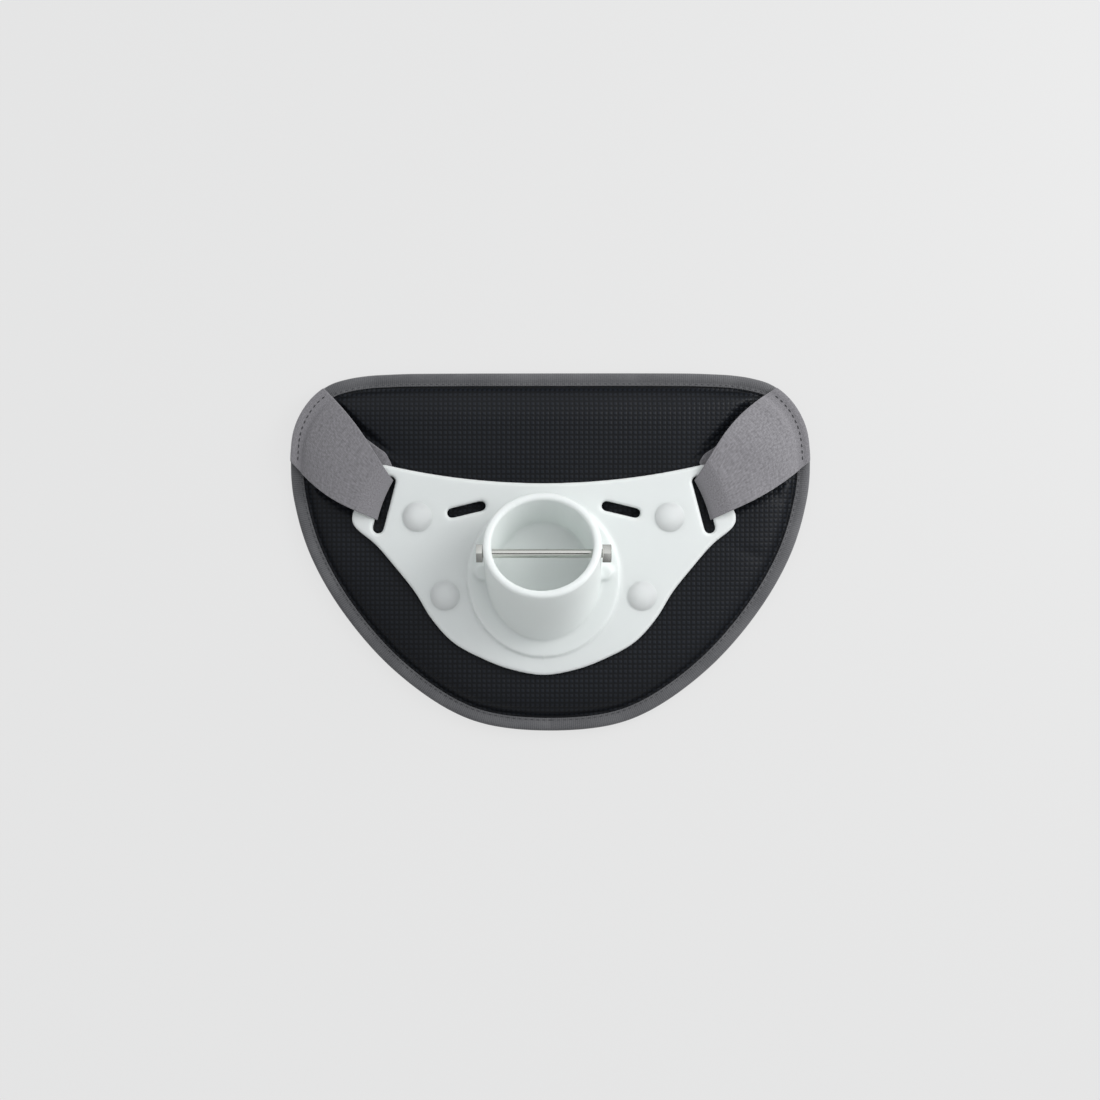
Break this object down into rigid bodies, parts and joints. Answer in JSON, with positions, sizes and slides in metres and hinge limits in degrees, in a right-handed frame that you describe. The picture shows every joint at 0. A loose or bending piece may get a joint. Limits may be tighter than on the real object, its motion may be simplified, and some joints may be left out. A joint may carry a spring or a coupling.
{
  "type": "fishing fighting belt",
  "caption": "Padded D-shaped belt front with a bound edge, sewn bands and a moulded plate that carries a tilted rod-butt cup with a cross pin.",
  "frame": {"origin": "on the surface that the pad's back rests on, under the middle of the belt", "axes": "+X to the right across the waist as seen from the front, +Y up the body, +Z out from the body through the cup"},
  "size_m": [0.2846, 0.1959, 0.0658],
  "materials": {
    "pad_fabric": "embossed, slight sheen",
    "binding_tape": "ribbed, matte",
    "band_fabric": "woven, matte",
    "white_plastic": "satin",
    "steel": "polished"
  },
  "bodies": {
    "root": {"pad": "pad_fabric", "edge_binding": "binding_tape", "strap_left": "band_fabric", "strap_right": "band_fabric", "gimbal_plate": "white_plastic", "rivet_upper_left": "white_plastic", "rivet_upper_right": "white_plastic", "rivet_lower_left": "white_plastic", "rivet_lower_right": "white_plastic", "cross_bolt": "steel", "lock_nut": "steel"}
  },
  "joints": []
}
